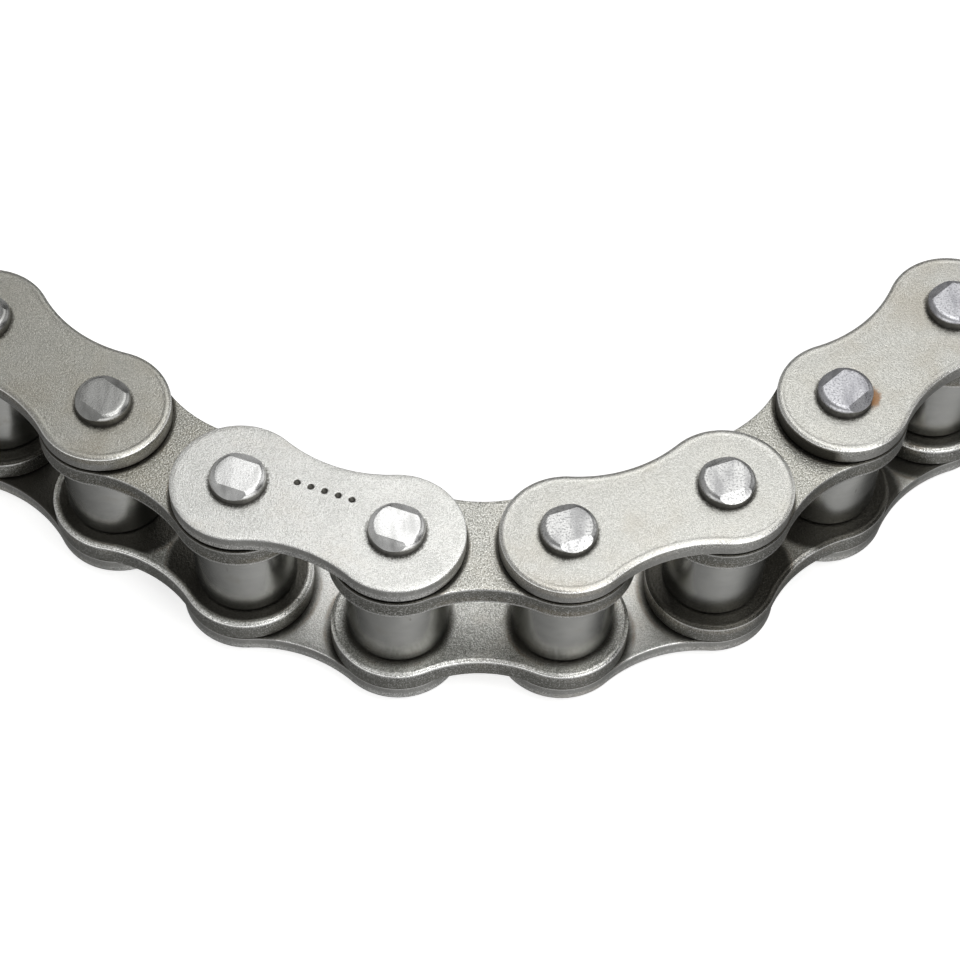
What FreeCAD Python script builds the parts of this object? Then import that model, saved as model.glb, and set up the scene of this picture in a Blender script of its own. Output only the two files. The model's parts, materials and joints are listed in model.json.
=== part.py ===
import FreeCAD, Part
import math
import os
from FreeCAD import Placement, Rotation, Vector

# Simplex roller chain of nine links, lying on its side with every pin upright.
#
# Inner links (two plates pressed on two bushes, a loose roller on each bush) alternate with
# outer links (two plates riveted on two pins). Each pin turns in the bush of the next inner
# link. Both ends are inner links, so a connecting link can be fitted through their bushes.
#
# +Z is up, along the pins, and +X runs along the chain. The origin is under the middle of
# the chain's box, level with the lower ends of the pins. All sizes are millimetres and degrees.

# ---- Driving dimensions of the chain ----
PITCH = 25.4                  # between neighbouring pin axes
INNER_WIDTH = 17.1            # between the plates of an inner link
PIN_DIAMETER = 8.28
PIN_CLEARANCE = 0.05          # radial, pin in bush
BUSH_WALL = 1.61
BUSH_STAND_OUT = 0.1          # how far a bush stands out of its plate, each end
ROLLER_CLEARANCE = 0.075      # radial, roller on bush
ROLLER_WALL = 2.065
ROLLER_END_PLAY = 0.2         # between roller and plate, each end

# ---- Plates ----
INNER_PLATE_THICKNESS = 3.9
INNER_PLATE_DEPTH = 21.0      # across the round ends
INNER_WAIST_DEPTH = 15.6      # across the narrow middle
OUTER_PLATE_THICKNESS = 3.1
OUTER_PLATE_DEPTH = 20.7
OUTER_WAIST_DEPTH = 15.6
PLATE_GAP = 0.3               # between an inner plate and the outer plate beside it
ROLLED_EDGE = 0.7             # round edge on the face where the punch went in
SHEARED_EDGE = 0.2            # nearly sharp edge on the other face

# ---- Riveted pin ends ----
HEAD_SIDE = 1.4               # straight side of a head, above the plate
HEAD_ROUND_HEIGHT = 0.7       # rounded rim above the straight side
HEAD_ROUND_WIDTH = 1.0
HEAD_FLARE = 0.14             # how much wider than the pin a head is, on the radius
FLAT_INSET = 1.68             # from a head's side in to the start of its sloped flat
FLAT_SLOPE = 30.0             # fall of the sloped flats

# ---- Small edges and marks ----
BUSH_EDGE = 0.3
ROLLER_EDGE = 0.5
DOT_COUNT = 5                 # row of punched dots on one outer plate
DOT_SPACING = 2.2
DOT_DIAMETER = 0.9
DOT_DEPTH = 0.15
DOT_ROW_OFFSET = 3.0          # from the plate's long centre line

# ---- How the chain lies ----
LINK_HEADINGS = [-42.9, -36.9, -31.85, -18.5, 1.9, 21.8, 43.0, 44.5, 36.5]
DOTTED_LINK = 3               # index of the outer link whose top plate has the dots

# ---- Sizes that follow ----
PIN_RADIUS = PIN_DIAMETER / 2
BUSH_BORE_RADIUS = PIN_RADIUS + PIN_CLEARANCE
BUSH_RADIUS = BUSH_BORE_RADIUS + BUSH_WALL
ROLLER_BORE_RADIUS = BUSH_RADIUS + ROLLER_CLEARANCE
ROLLER_RADIUS = ROLLER_BORE_RADIUS + ROLLER_WALL
ROLLER_LENGTH = INNER_WIDTH - 2 * ROLLER_END_PLAY
INNER_FACE = INNER_WIDTH / 2                              # heights above the chain's mid plane
INNER_BACK = INNER_FACE + INNER_PLATE_THICKNESS
OUTER_FACE = INNER_BACK + PLATE_GAP
OUTER_BACK = OUTER_FACE + OUTER_PLATE_THICKNESS
BUSH_LENGTH = 2 * (INNER_BACK + BUSH_STAND_OUT)
HEAD_RADIUS = PIN_RADIUS + HEAD_FLARE
PIN_END = OUTER_BACK + HEAD_SIDE + HEAD_ROUND_HEIGHT
MID_HEIGHT = PIN_END                                      # mid plane above the ground


def pivot_points():
    """Axis of each bush in turn, with the middle of the chain's box at the origin."""
    points = [Vector(0, 0, 0)]
    for heading in LINK_HEADINGS:
        angle = math.radians(heading)
        points.append(points[-1] + Vector(math.cos(angle), math.sin(angle), 0) * PITCH)
    middle = Vector(
        (min(p.x for p in points) + max(p.x for p in points)) / 2,
        (min(p.y for p in points) + max(p.y for p in points)) / 2,
        0,
    )
    return [p - middle for p in points]


def pivot_names():
    """Names of the bush positions: one for each end, and a number where a pin goes through."""
    last = len(LINK_HEADINGS)
    return ["left_end"] + [str(n) for n in range(1, last)] + ["right_end"]


def plate_outline(depth, waist_depth):
    """Closed outline of a plate: two round ends joined by two hollow arcs, tangent to them."""
    end = depth / 2
    waist = waist_depth / 2
    half = PITCH / 2
    hollow = (half ** 2 + waist ** 2 - end ** 2) / (2 * (end - waist))
    reach = math.hypot(half, waist + hollow)
    touch_x = end * half / reach
    touch_y = end * (waist + hollow) / reach
    far_x = PITCH - touch_x
    arcs = [
        Part.Arc(Vector(touch_x, touch_y, 0), Vector(-end, 0, 0), Vector(touch_x, -touch_y, 0)),
        Part.Arc(Vector(touch_x, -touch_y, 0), Vector(half, -waist, 0), Vector(far_x, -touch_y, 0)),
        Part.Arc(Vector(far_x, -touch_y, 0), Vector(PITCH + end, 0, 0), Vector(far_x, touch_y, 0)),
        Part.Arc(Vector(far_x, touch_y, 0), Vector(half, waist, 0), Vector(touch_x, touch_y, 0)),
    ]
    return Part.Wire([arc.toShape() for arc in arcs])


def round_rim(solid, height, radius):
    """Round every edge of a solid that lies flat at one height."""
    rim = [e for e in solid.Edges if all(abs(v.Z - height) < 1e-6 for v in e.Vertexes)]
    return solid.makeFillet(radius, rim)


def side_plate(depth, waist_depth, thickness, hole_radius, rolled_below):
    """Plate with its lower face at height 0 and a hole on each of its two pivots."""
    blank = Part.Face(plate_outline(depth, waist_depth)).extrude(Vector(0, 0, thickness))
    lower, upper = (ROLLED_EDGE, SHEARED_EDGE) if rolled_below else (SHEARED_EDGE, ROLLED_EDGE)
    plate = round_rim(round_rim(blank, 0, lower), thickness, upper)
    for x in (0, PITCH):
        plate = plate.cut(Part.makeCylinder(hole_radius, 3 * thickness, Vector(x, 0, -thickness)))
    return plate


def punched_dots(height):
    """Cones that cut a row of shallow dots into a face at this height, between the pivots."""
    cones = []
    for n in range(DOT_COUNT):
        x = PITCH / 2 + (n - (DOT_COUNT - 1) / 2) * DOT_SPACING
        tip = Vector(x, DOT_ROW_OFFSET, height - DOT_DEPTH)
        cones.append(Part.makeCone(0, DOT_DIAMETER, 2 * DOT_DEPTH, tip))
    return cones


def tube(bore_radius, radius, length, edge):
    """Tube centred on the mid plane, with the outer edges of its ends rounded."""
    bar = Part.makeCylinder(radius, length, Vector(0, 0, -length / 2))
    for height in (-length / 2, length / 2):
        bar = round_rim(bar, height, edge)
    return bar.cut(Part.makeCylinder(bore_radius, 2 * length, Vector(0, 0, -length)))


def pin():
    """Pin centred on the mid plane, with both ends riveted over."""
    top_radius = HEAD_RADIUS - HEAD_ROUND_WIDTH
    shoulder = PIN_END - HEAD_ROUND_HEIGHT
    round_radius = math.hypot(HEAD_ROUND_WIDTH, HEAD_ROUND_HEIGHT) ** 2 / (2 * HEAD_ROUND_HEIGHT)
    half_turn = math.asin(HEAD_ROUND_WIDTH / round_radius) / 2
    rim_drop = round_radius * (1 - math.cos(half_turn))
    rim = Vector(top_radius + round_radius * math.sin(half_turn), 0, PIN_END - rim_drop)
    upper = [
        Part.LineSegment(Vector(PIN_RADIUS, 0, 0), Vector(PIN_RADIUS, 0, OUTER_BACK)),
        Part.LineSegment(Vector(PIN_RADIUS, 0, OUTER_BACK), Vector(HEAD_RADIUS, 0, OUTER_BACK)),
        Part.LineSegment(Vector(HEAD_RADIUS, 0, OUTER_BACK), Vector(HEAD_RADIUS, 0, shoulder)),
        Part.Arc(Vector(HEAD_RADIUS, 0, shoulder), rim, Vector(top_radius, 0, PIN_END)),
        Part.LineSegment(Vector(top_radius, 0, PIN_END), Vector(0, 0, PIN_END)),
        Part.LineSegment(Vector(0, 0, PIN_END), Vector(0, 0, 0)),
        Part.LineSegment(Vector(0, 0, 0), Vector(PIN_RADIUS, 0, 0)),
    ]
    profile = Part.Face(Part.Wire([edge.toShape() for edge in upper]))
    half = profile.revolve(Vector(0, 0, 0), Vector(0, 0, 1), 360)
    for side in (-1, 1):
        half = half.cut(flat_cutter(side))
    other = half.mirror(Vector(0, 0, 0), Vector(0, 0, 1))
    return half.fuse(other).removeSplitter().Solids[0]


def flat_cutter(side):
    """Block whose lower face slopes down and out from a head's end, along the link."""
    size = 4 * HEAD_RADIUS
    block = Part.makeBox(size, size, size, Vector(-size / 2, 0, 0))
    block.Placement = Placement(Vector(0, 0, 0), Rotation(Vector(1, 0, 0), -FLAT_SLOPE))
    block = block.mirror(Vector(0, 0, 0), Vector(0, 1, 0)) if side < 0 else block
    block.translate(Vector(0, side * (HEAD_RADIUS - FLAT_INSET), PIN_END))
    return block


def placed(shape, point, heading, height=0.0):
    """Copy of a shape, turned to a link's heading and moved to a point above the ground."""
    copy = shape.copy()
    turn = Rotation(Vector(0, 0, 1), heading)
    copy.Placement = Placement(point + Vector(0, 0, MID_HEIGHT + height), turn).multiply(copy.Placement)
    return copy


def inner_link(number, start, heading):
    """Two plates of an inner link, by node name."""
    sizes = (INNER_PLATE_DEPTH, INNER_WAIST_DEPTH, INNER_PLATE_THICKNESS, BUSH_RADIUS)
    name = "inner_link_%d_" % number
    return {
        name + "top_plate": placed(side_plate(*sizes, True), start, heading, INNER_FACE),
        name + "bottom_plate": placed(side_plate(*sizes, False), start, heading, -INNER_BACK),
    }


def outer_link(number, start, heading, dotted):
    """Two plates of an outer link, by node name."""
    sizes = (OUTER_PLATE_DEPTH, OUTER_WAIST_DEPTH, OUTER_PLATE_THICKNESS, PIN_RADIUS)
    name = "outer_link_%d_" % number
    top = side_plate(*sizes, dotted)
    if dotted:
        top = top.cut(punched_dots(OUTER_PLATE_THICKNESS))
    return {
        name + "top_plate": placed(top, start, heading, OUTER_FACE),
        name + "bottom_plate": placed(side_plate(*sizes, True), start, heading, -OUTER_BACK),
    }


def build():
    """Every piece of the chain in its place, by node name."""
    points = pivot_points()
    names = pivot_names()
    pieces = {}
    for index, heading in enumerate(LINK_HEADINGS):
        number = index // 2 + 1
        ends = (index, index + 1)
        if index % 2 == 0:
            pieces.update(inner_link(number, points[index], heading))
            for end in ends:
                bush = tube(BUSH_BORE_RADIUS, BUSH_RADIUS, BUSH_LENGTH, BUSH_EDGE)
                roller = tube(ROLLER_BORE_RADIUS, ROLLER_RADIUS, ROLLER_LENGTH, ROLLER_EDGE)
                pieces["bush_" + names[end]] = placed(bush, points[end], heading)
                pieces["roller_" + names[end]] = placed(roller, points[end], heading)
        else:
            dotted = index == DOTTED_LINK
            pieces.update(outer_link(number, points[index], heading, dotted))
            for end in ends:
                pieces["pin_" + names[end]] = placed(pin(), points[end], heading)
    return pieces


def main():
    """Write one STEP file for each piece."""
    os.makedirs("parts", exist_ok=True)
    for name, shape in build().items():
        if not shape.isValid() or len(shape.Solids) != 1:
            raise RuntimeError("%s is not one valid solid" % name)
        shape.Solids[0].exportStep(os.path.join("parts", name + ".step"))
    print("%d pieces, pivots at" % len(os.listdir("parts")))
    for name, point in zip(pivot_names(), pivot_points()):
        print("  %s: %.3f, %.3f" % (name, point.x, point.y))


if __name__ == "__main__":
    main()
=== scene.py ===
import json
import logging
import math
from dataclasses import dataclass, field
from enum import Enum
from typing import Any, Dict, Iterable, List, Optional, Sequence, Tuple, Union

import bmesh
import bpy
import numpy as np
from mathutils import Matrix, Vector, noise


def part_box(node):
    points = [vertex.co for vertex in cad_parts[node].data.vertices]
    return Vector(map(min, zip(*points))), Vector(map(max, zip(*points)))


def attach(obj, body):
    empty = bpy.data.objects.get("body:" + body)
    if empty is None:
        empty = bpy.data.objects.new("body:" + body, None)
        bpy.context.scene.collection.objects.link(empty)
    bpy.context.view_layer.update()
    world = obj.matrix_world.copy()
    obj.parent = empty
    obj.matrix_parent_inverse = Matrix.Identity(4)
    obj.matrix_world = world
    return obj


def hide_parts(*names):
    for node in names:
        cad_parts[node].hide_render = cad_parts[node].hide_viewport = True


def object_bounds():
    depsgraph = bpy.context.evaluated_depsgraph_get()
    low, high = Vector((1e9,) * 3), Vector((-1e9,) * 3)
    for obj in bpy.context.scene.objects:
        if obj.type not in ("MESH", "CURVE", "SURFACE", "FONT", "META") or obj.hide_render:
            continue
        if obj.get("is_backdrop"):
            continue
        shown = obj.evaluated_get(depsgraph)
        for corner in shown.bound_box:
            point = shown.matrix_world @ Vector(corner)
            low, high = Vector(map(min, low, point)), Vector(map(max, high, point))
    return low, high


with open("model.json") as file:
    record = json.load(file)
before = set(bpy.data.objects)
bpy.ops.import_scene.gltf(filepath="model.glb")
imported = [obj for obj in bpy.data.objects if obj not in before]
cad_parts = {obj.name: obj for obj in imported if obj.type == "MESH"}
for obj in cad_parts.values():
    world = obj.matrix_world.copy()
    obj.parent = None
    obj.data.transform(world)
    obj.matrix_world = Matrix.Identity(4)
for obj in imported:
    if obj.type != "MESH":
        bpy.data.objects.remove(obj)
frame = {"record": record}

# Looks of a short length of simplex roller chain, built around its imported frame. Metres throughout;
# MM turns a size in millimetres into metres. Each link is built in its own coordinates, with x along
# the link from its first pivot, y across it and z up, and then turned to where the frame has it.

MM = 0.001

# Radial gaps of the pin in its bush and of the roller on its bush, and how much the spun-over end of
# a pin is larger in radius than the pin.
PIN_CLEARANCE = 0.05 * MM
ROLLER_CLEARANCE = 0.075 * MM
HEAD_SWELL = 0.14 * MM

LOG = logging.getLogger("roller_chain")

Number = Union[int, float]
Colour = Tuple[float, float, float]
Point2 = Tuple[float, float]


class Side(Enum):
    """One of the two faces of a side plate. The value is its direction along z."""

    UPPER = 1
    LOWER = -1


class Slot(Enum):
    """The record's material slots."""

    OUTER_PLATE = "outer_plate_steel"
    INNER_PLATE = "inner_plate_steel"
    ROLLER = "roller_steel"
    BUSH = "bush_steel"
    PIN = "pin_steel"


class Mark(Enum):
    """What is punched into the upper face of a side plate."""

    NONE = "none"
    DOTS = "dots"


# ---------------------------------------------------------------------------------------------
# Shader graphs
# ---------------------------------------------------------------------------------------------


class Signal:
    """A shader socket that can be used in arithmetic. Each operation adds a Math node."""

    def __init__(self, graph: "Graph", socket: bpy.types.NodeSocket) -> None:
        """Wraps one output socket of a graph.

        Args:
            graph: the graph that the socket belongs to.
            socket: the output socket.
        """
        self.graph = graph
        self.socket = socket

    def _math(self, operation: str, first: "Operand", second: "Operand") -> "Signal":
        """Adds one Math node.

        Args:
            operation: the Math node's operation.
            first: its first operand.
            second: its second operand.

        Returns:
            The node's result.
        """
        return self.graph.signal("ShaderNodeMath", {"operation": operation}, {0: first, 1: second})

    def __add__(self, other: "Operand") -> "Signal":
        """Sum with another signal or number."""
        return self._math("ADD", self, other)

    def __radd__(self, other: "Operand") -> "Signal":
        """Sum, with the number first."""
        return self._math("ADD", other, self)

    def __sub__(self, other: "Operand") -> "Signal":
        """Difference from another signal or number."""
        return self._math("SUBTRACT", self, other)

    def __rsub__(self, other: "Operand") -> "Signal":
        """Difference, with the number first, as in 1 - mask."""
        return self._math("SUBTRACT", other, self)

    def __mul__(self, other: "Operand") -> "Signal":
        """Product with another signal or number."""
        return self._math("MULTIPLY", self, other)

    def __rmul__(self, other: "Operand") -> "Signal":
        """Product, with the number first."""
        return self._math("MULTIPLY", other, self)

    def least(self, other: "Operand") -> "Signal":
        """The smaller of this signal and another."""
        return self._math("MINIMUM", self, other)

    def most(self, other: "Operand") -> "Signal":
        """The larger of this signal and another."""
        return self._math("MAXIMUM", self, other)

    def band(self, low: Number, high: Number) -> "Signal":
        """Smooth step of this signal.

        Args:
            low: where the result leaves 0.
            high: where the result reaches 1. It may be below low, which turns the step round.

        Returns:
            A signal from 0 to 1.
        """
        settings = {"interpolation_type": "SMOOTHSTEP"}
        return self.graph.signal("ShaderNodeMapRange", settings, {"Value": self, 1: low, 2: high})


Operand = Union[Signal, Number]


class Graph:
    """A node tree that is filled by one method for every kind of node."""

    def __init__(self, tree: bpy.types.NodeTree) -> None:
        """Clears a node tree and takes it over.

        Args:
            tree: the node tree of a material or of the world.
        """
        self.tree = tree
        tree.nodes.clear()

    def node(self, kind: str, settings: Dict[str, Any], inputs: Dict[Any, Any]) -> bpy.types.Node:
        """Adds a node, sets it up and connects it.

        Args:
            kind: the node's type.
            settings: attributes set first; "stops" holds a ramp's (position, colour) pairs.
            inputs: a value, signal or socket for each input, by name or number.

        Returns:
            The new node.
        """
        node = self.tree.nodes.new(kind)
        for name, value in settings.items():
            if name == "stops":
                self._fill_ramp(node.color_ramp, value)
            else:
                setattr(node, name, value)
        for name, value in inputs.items():
            source = value.socket if isinstance(value, Signal) else value
            if isinstance(source, bpy.types.NodeSocket):
                self.tree.links.new(source, node.inputs[name])
            elif isinstance(source, tuple) and len(source) == 3 and node.inputs[name].type == "RGBA":
                node.inputs[name].default_value = (*source, 1.0)
            else:
                node.inputs[name].default_value = source
        return node

    @staticmethod
    def _fill_ramp(ramp: bpy.types.ColorRamp, stops: Sequence[Tuple[float, Colour]]) -> None:
        """Gives a colour ramp its stops.

        Args:
            ramp: the ramp, with its two first stops.
            stops: position and colour of each stop, in order.
        """
        while len(ramp.elements) < len(stops):
            ramp.elements.new(1.0)
        for element, (position, colour) in zip(ramp.elements, stops):
            element.position = position
            element.color = (*colour, 1.0)

    def signal(
        self, kind: str, settings: Dict[str, Any], inputs: Dict[Any, Any], out: Union[int, str] = 0
    ) -> Signal:
        """Adds a node and wraps one of its outputs.

        Args:
            kind: the node's type.
            settings: attributes set first.
            inputs: a value, signal or socket for each input.
            out: the output's name or number.

        Returns:
            The wrapped output.
        """
        return Signal(self, self.node(kind, settings, inputs).outputs[out])

    def grain(self, per_metre: float, detail: float = 2.0, stretch: Colour = (1.0, 1.0, 1.0)) -> Signal:
        """Soft random pattern fixed to the piece.

        Args:
            per_metre: how many grains there are in a metre.
            detail: octaves of finer pattern.
            stretch: factors on x, y and z. A small one draws the pattern out along that axis.

        Returns:
            A signal about 0.5.
        """
        where = self.node("ShaderNodeTexCoord", {}, {}).outputs["Object"]
        scaled = self.node("ShaderNodeVectorMath", {"operation": "MULTIPLY"}, {0: where, 1: stretch})
        inputs = {"Vector": scaled.outputs[0], "Scale": per_metre, "Detail": detail}
        return self.signal("ShaderNodeTexNoise", {"noise_dimensions": "3D"}, inputs, "Fac")

    def attribute(self, name: str) -> Signal:
        """A value stored on the mesh, such as the distance from a pin."""
        return self.signal("ShaderNodeAttribute", {"attribute_name": name}, {}, "Fac")

    def mix(self, amount: Operand, under: Any, over: Any, blend: str = "MIX") -> bpy.types.NodeSocket:
        """Mixes two colours.

        Args:
            amount: share of the second colour.
            under: the first colour, or its socket.
            over: the second colour, or its socket.
            blend: the blend type.

        Returns:
            The mixed colour's socket.
        """
        settings = {"data_type": "RGBA", "blend_type": blend}
        node = self.node("ShaderNodeMix", settings, {0: amount, 6: under, 7: over})
        return node.outputs[2]

    def bump(self, height: Signal, depth: float, under: Optional[bpy.types.NodeSocket] = None) -> Any:
        """Bump from a height signal.

        Args:
            height: the height, from 0 to 1.
            depth: what 1 stands for, in metres.
            under: another bump's normal, which this one adds to.

        Returns:
            The bumped normal's socket.
        """
        inputs: Dict[Any, Any] = {"Height": height, "Distance": depth, "Strength": 1.0}
        if under is not None:
            inputs["Normal"] = under
        return self.node("ShaderNodeBump", {}, inputs).outputs["Normal"]


# ---------------------------------------------------------------------------------------------
# Finishes
# ---------------------------------------------------------------------------------------------


@dataclass(frozen=True)
class Finish:
    """A material with one Principled shader. Each kind of finish says what goes into the shader."""

    name: str

    def inputs(self, graph: Graph) -> Dict[str, Any]:
        """Works out the shader's inputs.

        Args:
            graph: the material's graph, to which it adds the nodes that it needs.

        Returns:
            A value, signal or socket for each input, by name.
        """
        raise NotImplementedError

    def build(self) -> bpy.types.Material:
        """Makes the material.

        Returns:
            The finished material.
        """
        material = bpy.data.materials.new(self.name)
        material.use_nodes = True
        graph = Graph(material.node_tree)
        shader = graph.node("ShaderNodeBsdfPrincipled", {}, self.inputs(graph))
        graph.node("ShaderNodeOutputMaterial", {}, {"Surface": shader.outputs["BSDF"]})
        return material


@dataclass(frozen=True)
class OilAndShadeFilm:
    """Dark oil and dust on a plate's face, out to a radius around each pivot, which also stands in as
    painted shade under neighbouring plates and at the rollers' feet.

    It thins out over a width of fade, and is wiped off along the plate's rim over a width of wiped.
    """

    radius: float
    fade: float
    wiped: float = 0.0

    def over(self, reach: Signal, rim: Signal) -> Signal:
        """How much of it there is, from 0 to 1.

        Args:
            reach: distance from the pivot.
            rim: distance from the plate's rim.

        Returns:
            The film's cover.
        """
        cover = reach.band(self.radius + self.fade, self.radius)
        return cover * rim.band(0.3 * self.wiped, self.wiped) if self.wiped else cover


@dataclass(frozen=True)
class BlastedSteel(Finish):
    """Shot-blasted plate steel: pale and grainy, darker and coarser where it tore, with grime and
    painted shade around pins and between parts, and painted highlights on specks and edges.
    """

    pale: Colour
    shade: Colour
    # Films of oil that also paint the shade around pivots, under neighbouring plates and at the
    # rollers' feet.
    inner_oil_and_shade: OilAndShadeFilm
    outer_oil_and_shade: OilAndShadeFilm
    stain: Colour = (0.50, 0.43, 0.33)
    sheared: Colour = (0.31, 0.307, 0.29)
    burnished: Colour = (0.72, 0.718, 0.695)
    # Multiplied in for tarnish, and as painted shade after how the light falls along the chain.
    aged_and_shaded: Colour = (0.50, 0.485, 0.43)
    # Colour of the painted highlights on specks, corners and rolled edges.
    painted_highlight: Colour = (0.93, 0.93, 0.91)
    # The dark colour below is grime, and also painted shade round pin heads and under the films.
    grime_and_shade: Colour = (0.045, 0.042, 0.034)
    varnish: Colour = (0.30, 0.19, 0.09)
    rust: Colour = (0.40, 0.19, 0.065)
    roughness: float = 0.37
    clouds: float = 160.0
    drifts: float = 30.0
    side_contrast: float = 0.28
    # Shares of specks painted bright as sparkle highlights, on the faces and on the sides.
    side_sparkle: float = 0.5
    sparkle: float = 0.36
    relief: float = 0.038 * MM
    fine: float = 6600.0
    coarse: float = 3300.0

    def inputs(self, graph: Graph) -> Dict[str, Any]:
        """Blends the steel, the oil film with its painted shade, the stains and the painted highlights
        by the masks stored on the plate.

        Args:
            graph: the material's graph.

        Returns:
            The shader's inputs.
        """
        speck = graph.grain(self.fine, 1.0)
        pits = graph.grain(self.coarse, 2.0)
        cloud = graph.grain(self.clouds, 4.0)
        drift = graph.grain(self.drifts, 2.0)
        edge, roll, torn, side = (graph.attribute(name) for name in ("edge", "roll", "torn", "side"))
        reach, rim, inward, oil = (graph.attribute(name) for name in ("reach", "rim", "inward", "oil"))
        gap, spot, tarnish = (graph.attribute(name) for name in ("pin_gap", "rust", "tarnish"))
        tone = (speck * 0.75 + pits * 0.50 + cloud * 0.30).band(0.60, 0.95)
        rim = rim + (cloud - 0.5) * 0.5 * MM
        # Oil film, partly painted shade: darker around pivots, under neighbouring plates and at the
        # rollers' feet.
        film = self.inner_oil_and_shade.over(reach, rim) * inward
        film = film + self.outer_oil_and_shade.over(reach, rim) * (1 - inward)
        film = (film * (1 - side)).most(oil)
        side_shade = tuple(self.side_contrast * c for c in self.burnished)
        low = graph.mix(side * 0.85, self.shade, side_shade)
        high = graph.mix(side * 0.85, self.pale, self.burnished)
        colour = graph.mix(tone, low, high)
        colour = graph.mix((drift * 0.6 + cloud * 0.4).band(0.48, 0.68) * 0.36, colour, self.stain)
        # Tarnish, partly painted shade: whole plates darkened after how the light falls along the
        # chain.
        tarnish_and_shade_cover = (tarnish + (cloud - 0.5) * 0.5).band(0.0, 1.3)
        colour = graph.mix(tarnish_and_shade_cover, colour, self.aged_and_shaded, "MULTIPLY")
        colour = graph.mix(torn * (0.35 + pits * 1.2).least(1.0), colour, self.sheared)
        # Painted highlight: bright sparkle specks, and bright corners and rolled edges where the film
        # is thin.
        painted_sparkle = speck.band(0.57, 0.66) * (side * (self.side_sparkle - self.sparkle) + self.sparkle)
        colour = graph.mix(painted_sparkle * 0.8, colour, self.painted_highlight)
        colour = graph.mix((edge * 0.55 + roll * 0.2) * (1 - film), colour, self.painted_highlight)
        # Grime and painted shade in a ring round each pin head; oily is the oil film's cover, which is
        # partly painted shade too.
        head_ring_grime_and_shade = (gap + (pits - 0.5) * 0.6).band(0.70, 0.10)
        oily = (film + (pits - 0.5) * 0.4 + (cloud - 0.5) * 0.4).band(0.10, 0.95) * 0.94
        brown = oily.band(0.02, 0.35) * oily.band(0.85, 0.40) * cloud.band(0.40, 0.70)
        colour = graph.mix(brown * 0.45, colour, self.varnish)
        colour = graph.mix((head_ring_grime_and_shade * 0.85).most(oily), colour, self.grime_and_shade)
        rusty = (spot + (pits - 0.5) * 0.8 + (cloud - 0.5) * 0.4).band(0.25, 0.85)
        colour = graph.mix(rusty * 0.85, colour, self.rust)
        rough = self.roughness + (speck - 0.5) * 0.25 + rusty * 0.3
        rough = rough - (edge + roll).least(1.0) * 0.10 - painted_sparkle * 0.12
        normal = graph.bump(pits, self.relief)
        normal = graph.bump(speck, self.relief * 0.6, normal)
        return {
            "Base Color": colour,
            "Metallic": 1 - rusty * 0.8,
            "Roughness": rough.least(0.85).most(0.2),
            "Normal": normal,
        }


@dataclass(frozen=True)
class OiledRollerSteel(Finish):
    """Tumbled roller steel: smooth and satin under a film of oil, with faint turning lines."""

    name: str = Slot.ROLLER.value
    body: Colour = (0.42, 0.42, 0.405)
    worn: Colour = (0.50, 0.50, 0.48)
    streak: Colour = (0.25, 0.24, 0.22)
    varnish: Colour = (0.30, 0.27, 0.22)
    grazing: Tuple[float, ...] = (0.30, 0.30, 0.29, 1.0)
    roughness: float = 0.24

    def inputs(self, graph: Graph) -> Dict[str, Any]:
        """Blends turning lines, cloud and scattered nicks.

        Args:
            graph: the material's graph.

        Returns:
            The shader's inputs.
        """
        lines = graph.grain(2600.0, 2.0, (0.04, 0.04, 1.0))
        cloud = graph.grain(240.0, 3.0)
        nick = graph.grain(700.0, 1.0, (1.0, 1.0, 0.35))
        colour = graph.mix((lines * 0.25 + cloud * 0.8 - 0.02).band(0.3, 0.75), self.body, self.worn)
        colour = graph.mix(nick.band(0.72, 0.80) * 0.7, colour, self.streak)
        colour = graph.mix(cloud.band(0.58, 0.75) * 0.3, colour, self.varnish)
        rough = self.roughness + (cloud - 0.5) * 0.12 + (lines - 0.5) * 0.05
        normal = graph.bump(lines, 0.0015 * MM)
        normal = graph.bump(nick.band(0.70, 0.80), 0.012 * MM, normal)
        return {
            "Base Color": colour, "Metallic": 1.0, "Roughness": rough.most(0.12), "Normal": normal,
            "Specular Tint": self.grazing,
        }


@dataclass(frozen=True)
class RivetedSteel(Finish):
    """Pin steel, bright on its riveted ends, with grime and painted shade where the head meets the
    plate.
    """

    bright: Colour
    dull: Colour
    roughness: float
    grit: float
    grime_and_shade: Colour = (0.09, 0.086, 0.076)

    def inputs(self, graph: Graph) -> Dict[str, Any]:
        """Blends tool smears, grit, and grime with painted shade on the head's side.

        Args:
            graph: the material's graph.

        Returns:
            The shader's inputs.
        """
        grit = graph.grain(3400.0, 2.0)
        smear = graph.grain(420.0, 2.0, (1.0, 0.3, 1.0))
        side = graph.attribute("side")
        colour = graph.mix(smear.band(0.30, 0.62), self.dull, self.bright)
        colour = graph.mix(grit.band(0.50, 0.66) * self.grit, colour, self.dull)
        # Grime and painted shade down the head's upright side, where it meets the plate.
        dirt_and_shade = (side + (grit - 0.5) * 0.2).band(0.24, 0.46) * 0.88
        colour = graph.mix(dirt_and_shade, colour, self.grime_and_shade)
        rough = self.roughness + (grit - 0.5) * self.grit * 0.5 + (smear - 0.5) * 0.08 + side * 0.12
        normal = graph.bump(grit, self.grit * 0.022 * MM + 0.002 * MM)
        return {
            "Base Color": colour, "Metallic": 1.0, "Roughness": rough.most(0.1), "Normal": normal,
        }


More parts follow.
